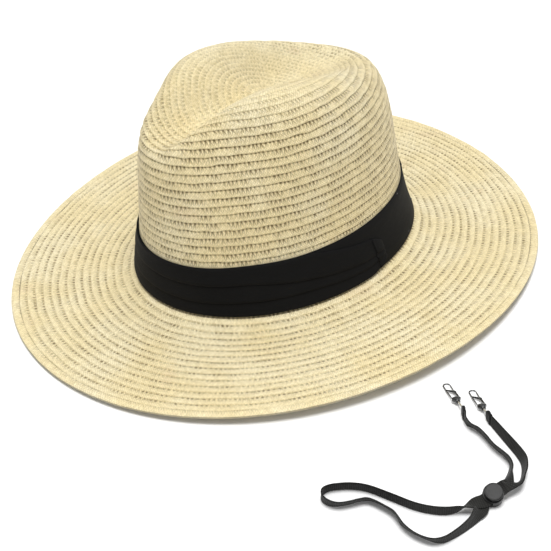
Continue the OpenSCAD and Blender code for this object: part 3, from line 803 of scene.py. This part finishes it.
STRAP_ROUTE = [
    (0.2025, -0.0425, 0.0038, 88), (0.2065, -0.0452, 0.0039, 100), (0.211, -0.0456, 0.0037, 118),
    (0.217, -0.0458, 0.0038, 112), (0.224, -0.0478, 0.0039, 108), (0.231, -0.0498, 0.0038, 113),
    (0.238, -0.0508, 0.0038, 112), (0.244, -0.053, 0.0039, 98), (0.2482, -0.0572, 0.0039, 74),
    (0.251, -0.0624, 0.0043, 62), (0.2538, -0.0672, 0.0064, 28), (0.257, -0.0723, 0.0082, -20),
    (0.2564, -0.0755, 0.0075, -20), (0.2555, -0.0809, 0.0063, -20), (0.2544, -0.0867, 0.005, -20),
    (0.2524, -0.091, 0.0049, -8), (0.2504, -0.0956, 0.0044, 35), (0.248, -0.1004, 0.004, 70),
    (0.2445, -0.1056, 0.0039, 80), (0.2385, -0.1106, 0.0039, 80), (0.23, -0.115, 0.0039, 80),
    (0.217, -0.1188, 0.0039, 80), (0.204, -0.1228, 0.0039, 76), (0.196, -0.128, 0.0039, 74),
    (0.1904, -0.1344, 0.0039, 74), (0.188, -0.139, 0.0039, 76), (0.1884, -0.143, 0.0039, 86),
    (0.1916, -0.1454, 0.0039, 96), (0.196, -0.1453, 0.0038, 108), (0.2004, -0.1426, 0.0037, 118),
    (0.2034, -0.138, 0.0036, 120), (0.2058, -0.133, 0.0036, 122), (0.2084, -0.1288, 0.0035, 124),
    (0.213, -0.1266, 0.0035, 126), (0.22, -0.1256, 0.0035, 124), (0.226, -0.1259, 0.0037, 114),
    (0.231, -0.1278, 0.0038, 104), (0.236, -0.129, 0.0037, 112), (0.242, -0.1289, 0.0035, 122),
    (0.248, -0.1278, 0.0035, 125), (0.2534, -0.1258, 0.0037, 118), (0.2568, -0.1218, 0.0038, 106),
    (0.2582, -0.116, 0.0039, 98), (0.2588, -0.109, 0.0039, 90), (0.2586, -0.102, 0.0039, 78),
    (0.2574, -0.0958, 0.004, 50), (0.2562, -0.091, 0.0029, 15), (0.254, -0.0864, 0.0039, 20),
    (0.2551, -0.0807, 0.0053, 20), (0.2561, -0.0752, 0.0065, 20), (0.2567, -0.072, 0.0072, 20),
    (0.2582, -0.0675, 0.0066, -12), (0.2588, -0.0635, 0.005, -45), (0.2574, -0.0585, 0.004, -68),
    (0.2544, -0.0528, 0.0039, -68), (0.2494, -0.0472, 0.0039, -70), (0.243, -0.044, 0.0039, -76),
    (0.236, -0.0416, 0.0039, -79), (0.229, -0.0393, 0.0039, -82), (0.222, -0.037, 0.0039, -85),
    (0.216, -0.035, 0.0038, -88),
]
WEB_W, WEB_T = 7.6 * MM, 0.9 * MM


def smooth_route(points, each=5):
    """A smooth (Catmull-Rom) curve through the points, with the lean carried along."""
    p = np.array(points, dtype=float)
    p = np.concatenate([2 * p[:1] - p[1:2], p, 2 * p[-1:] - p[-2:-1]])
    out = []
    for k in range(1, len(p) - 2):
        for t in np.arange(each) / each:
            a, b, c, d = p[k - 1:k + 3]
            out.append(0.5 * (2 * b + (c - a) * t + (2 * a - 5 * b + 4 * c - d) * t**2
                              + (3 * b - a - 3 * c + d) * t**3))
    return np.array(out + [p[-2]])


def ribbon_part(line, wide, width, thickness):
    """Flat webbing along a line in metres: flat faces, thicker at the selvages."""
    thick = np.cross(unit(np.gradient(line, axis=0)), wide)
    across = np.array([-1, -0.94, -0.8, -0.4, 0, 0.4, 0.8, 0.94])
    across = np.concatenate([across, -across])
    face = np.array([0, -0.8, -1, -0.84, -0.8, -0.84, -1, -0.8])
    face = np.concatenate([face, -face])
    rings = (line[:, None] + wide[:, None] * (across * width / 2)[None, :, None]
             + thick[:, None] * (face * thickness / 2)[None, :, None])
    step = np.linalg.norm(np.diff(line, axis=0), axis=1)
    run = np.concatenate([[0], np.cumsum(step)]) / MM
    spread = abs(np.diff(np.concatenate([across, across[:1]]))) * width / 2 / MM
    return tube_part(rings, run, np.concatenate([[0], np.cumsum(spread)]))


def make_webbing():
    route = smooth_route(STRAP_ROUTE)
    line, lean = route[:, :3], route[:, 3]
    t = unit(np.gradient(line, axis=0))
    level = unit(vec(-t[:, 1], t[:, 0], 0))
    wide = level * cos(lean)[:, None] + np.cross(t, level) * sin(lean)[:, None]
    piece = add_mesh("webbing_strap", "webbing_cloth", "strap", ["webbing"],
                     *ribbon_part(line, wide, WEB_W, WEB_T))
    fittings = make_fittings()


def turned(places, about):
    """Turn matrix from (axis, degrees) pairs, outermost first."""
    m = Matrix.Identity(3)
    for axis, degrees in zip(places, about):
        m = m @ Matrix.Rotation(math.radians(degrees), 3, axis)
    return np.array(m)


def wire_part(points, r, sides=12):
    """Round wire through points on the plane z = 0, with rounded ends."""
    p = np.array(points, dtype=float)
    t = unit(np.gradient(p, axis=0))
    side = np.stack([-t[:, 1], t[:, 0]], -1)
    q = np.radians(np.arange(sides) * 360 / sides)
    ends = np.ones(len(p))
    ends[[0, -1]] = 0.6
    rings = np.empty((len(p), sides, 3))
    for k in range(len(p)):
        rings[k, :, :2] = p[k] + side[k] * (np.cos(q) * r * ends[k])[:, None]
        rings[k, :, 2] = np.sin(q) * r * ends[k]
    run = np.concatenate([[0], np.cumsum(np.linalg.norm(np.diff(p, axis=0), axis=1))])
    return tube_part(rings[:, ::-1], run, np.linspace(0, 2 * math.pi * r, sides + 1))


def rounded(corners, steps=5):
    """A polyline with its inner corners eased into short curves."""
    c = np.array(corners, dtype=float)
    out = [c[0]]
    for a, b, d in zip(c[:-2], c[1:-1], c[2:]):
        p, q = b + (a - b) * 0.35, b + (d - b) * 0.35
        out += [p * (1 - k)**2 + b * 2 * k * (1 - k) + q * k * k for k in np.linspace(0, 1, steps)]
    return np.array(out + [c[-1]])


def block_part(stations, power=0.5):
    """A body along x with rounded-square sections: stations are (x, half y, half z)."""
    q = np.radians(np.arange(20) * 18)
    y = np.sign(np.cos(q)) * abs(np.cos(q))**power
    z = np.sign(np.sin(q)) * abs(np.sin(q))**power
    s = np.array(stations, dtype=float)
    rings = np.stack([np.broadcast_to(s[:, :1], (len(s), 20)), s[:, 1:2] * y, s[:, 2:3] * z], -1)
    return tube_part(rings, s[:, 0], np.linspace(0, 12, 21))


def set_down(parts, place, turn):
    """Parts drawn in mm in a piece's own frame, put where the piece lies."""
    return join_parts([((p @ turn.T + place) * MM, f, uv) for p, f, uv in parts])


# Places and turns of the fittings, as in part.scad: mm and degrees, first and second end
CLIP_PLACE = ((191.6, -35.3, 3.2), (206, -29.6, 3.2))
CLIP_DIR = (153, 151)
CLIP_TILT = 8
# Centre and size of the hook's bend, and how far its straight side lies from the middle
TIP_X, TIP_R, SIDE_Y = 18.1, 2.05, 2.15
SLEEVE_PLACE = ((202.5, -42.5, 3.8), (216, -35, 3.8))
SLEEVE_DIR = (139, 152)
# The lock leans with the webbing, which passes through it
LOCK_PLACE, LOCK_TURNS = (255.3, -80.8, 5.9), (-41, 23, -57)
LOCK_CAP_Z = 3.3


def make_fittings():
    """Clips, end sleeves and the lock's cap; gives all the pieces that go on the webbing."""
    out = []
    for k in (0, 1):
        turn = turned("ZY", (CLIP_DIR[k], CLIP_TILT))
        bend = [(TIP_X + TIP_R * cos(a), TIP_R * sin(a)) for a in range(90, -80, -11)]
        straight = [(3.6, SIDE_Y), (6.5, SIDE_Y + 0.03), (10, SIDE_Y + 0.05), (14, SIDE_Y)]
        hook = wire_part(straight + bend, 0.42)
        out.append(add_mesh("clip_hook_%d" % (k + 1), "gate_metal", "clip_%d" % (k + 1),
                            ["clip_body_%d" % (k + 1)], *set_down([hook], CLIP_PLACE[k], turn)))
        bar = wire_part(rounded([(3.8, -2.15), (6, -2.1), (9.6, -2.0), (10.9, -1.2),
                                 (13.9, 1.95)]), 0.62)
        cheek = wire_part(rounded([(9.4, -2.2), (10.4, -2.1), (11.3, -1.3)]), 0.8)
        block = block_part([(-0.1, 0.9, 0.85), (0, 1.25, 1.15), (0.9, 1.5, 1.3), (1.9, 2.1, 1.35),
                            (2.5, 2.7, 1.35), (3.1, 2.85, 1.3), (4.0, 2.6, 1.2), (4.35, 2.3, 1.0),
                            (4.4, 1.6, 0.6)], 0.62)
        out.append(add_mesh("clip_frame_%d" % (k + 1), "clip_black", "clip_%d" % (k + 1),
                            ["clip_body_%d" % (k + 1)],
                            *set_down([block, bar, cheek], CLIP_PLACE[k], turn)))
        stations = [(0.1, 3.3, 0.5), (0.15, 3.75, 0.95), (1.2, 3.8, 1.15), (2.4, 3.75, 0.95),
                    (3.6, 3.75, 1.15), (4.6, 3.6, 1.2), (5.6, 3.1, 1.15), (6.4, 2.4, 1.0),
                    (6.9, 1.5, 0.8), (7.1, 0.8, 0.4)]
        fold = [(x, z, y) for x, y, z in stations]
        turn = turned("Z", (SLEEVE_DIR[k],))
        out.append(add_mesh("end_fold_%d" % (k + 1), "sleeve_black", "strap",
                            ["end_sleeve_%d" % (k + 1)],
                            *set_down([block_part(fold, 0.55)], SLEEVE_PLACE[k], turn)))
    turn = turned("ZYZ", LOCK_TURNS)
    # Cap with a raised rim and a shallow dish, as a turned section
    section = [(4.4, -0.05), (5.0, 0.0), (5.13, 0.2), (5.13, 0.75), (4.95, 1.02), (4.6, 1.14),
               (4.2, 1.12), (3.95, 0.95), (3.6, 0.84), (2.2, 0.86), (0.9, 0.9), (0.0, 0.9)]
    spin = np.radians(np.arange(64) * 360 / 64)
    r, z = np.array(section).T
    grid = np.stack(np.broadcast_arrays(r[:, None] * np.cos(spin), r[:, None] * np.sin(spin),
                                        z[:, None] + LOCK_CAP_Z), -1)
    uv_u = np.repeat((np.arange(65) * 0.5)[None], len(r), 0)
    points, faces, uv = grid_part(grid, uv_u, np.repeat(r[:, None], 65, 1), around=True)
    cap = add_mesh("lock_cap", "lock_plastic", "button", [],
                   *set_down([(points, faces, uv)], LOCK_PLACE, turn))
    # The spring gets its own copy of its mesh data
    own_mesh(frame["nodes"]["lock_spring"])
    names = ("swivel_link_1", "swivel_link_2", "clip_gate_1", "clip_gate_2", "lock_body",
             "lock_button")
    return out + [cap] + [frame["nodes"][n] for n in names]


def make_tabs():
    """Webbing tabs: down the sweatband, under the ring's bar and up again."""
    pivot_x, pivot_z, reach = 73.7, 2.6, 1.35
    for name, side in (("left", 1), ("right", -1)):
        down = []
        for h in (13.8, 12, 10, 8, 6, 4.5, 3):
            x = beside(90.0, pivot_z + h, SWEAT_D - SWEAT_T - 0.3)[0] - 0.42
            down.append((x, pivot_z + h))
        turn = [(pivot_x + reach * cos(a), pivot_z + reach * sin(a)) for a in range(20, -200, -20)]
        up = [(pivot_x - reach, pivot_z + 1.4), (pivot_x - 0.6, pivot_z + 3),
              (pivot_x - 0.75, pivot_z + 4.6)]
        xz = np.array(down + turn + up)
        line = placed(np.stack([side * xz[:, 0], 0 * xz[:, 0], xz[:, 1]], -1))
        wide = np.tile([[0.0, side, 0.0]], (len(line), 1))
        add_mesh("strap_tab_%s_web" % name, "webbing_cloth", "hat", ["strap_tab_" + name],
                 *ribbon_part(line, wide, 8 * MM, 0.8 * MM))


make_webbing()
make_tabs()

# ---------- Carried-over CAD nodes, floor and light ----------

for subpart in frame["record"]["subparts"]:
    node = frame["nodes"][subpart["node"]]
    if not node.hide_render:
        node.data.materials.clear()
        node.data.materials.append(MATERIALS[subpart["material_slot"]])


def make_stage():
    mesh = bpy.data.meshes.new("floor")
    mesh.from_pydata([(-4, -4, 0), (4, -4, 0), (4, 4, 0), (-4, 4, 0)], [], [(0, 1, 2, 3)])
    floor = bpy.data.objects.new("floor", mesh)
    s = Shader("floor", Roughness=0.9, Specular_IOR_Level=0.1)
    speck = s.noise(6, 2)
    mesh.materials.append(s.finish(s.mix(speck, rgb(0.93, 0.93, 0.93), rgb(0.96, 0.96, 0.96))))
    bpy.context.scene.collection.objects.link(floor)
    world = bpy.data.worlds.new("studio")
    world.use_nodes = True
    world.node_tree.nodes["Background"].inputs[0].default_value = (1, 1, 1, 1)
    world.node_tree.nodes["Background"].inputs[1].default_value = 0.55
    bpy.context.scene.world = world
    lamps = (("key", (0.5, -0.35, 2.25), 1.0, 45.0), ("back", (-0.6, 1.1, 1.9), 1.4, 9.0))
    aim = Vector((0.05, -0.03, 0.05))
    for name, place, size, power in lamps:
        data = bpy.data.lights.new(name, "AREA")
        data.shape = "DISK"
        data.size = size
        data.energy = power
        lamp = bpy.data.objects.new(name, data)
        bpy.context.scene.collection.objects.link(lamp)
        lamp.location = place
        lamp.rotation_euler = (aim - Vector(place)).to_track_quat("-Z", "Y").to_euler()


make_stage()
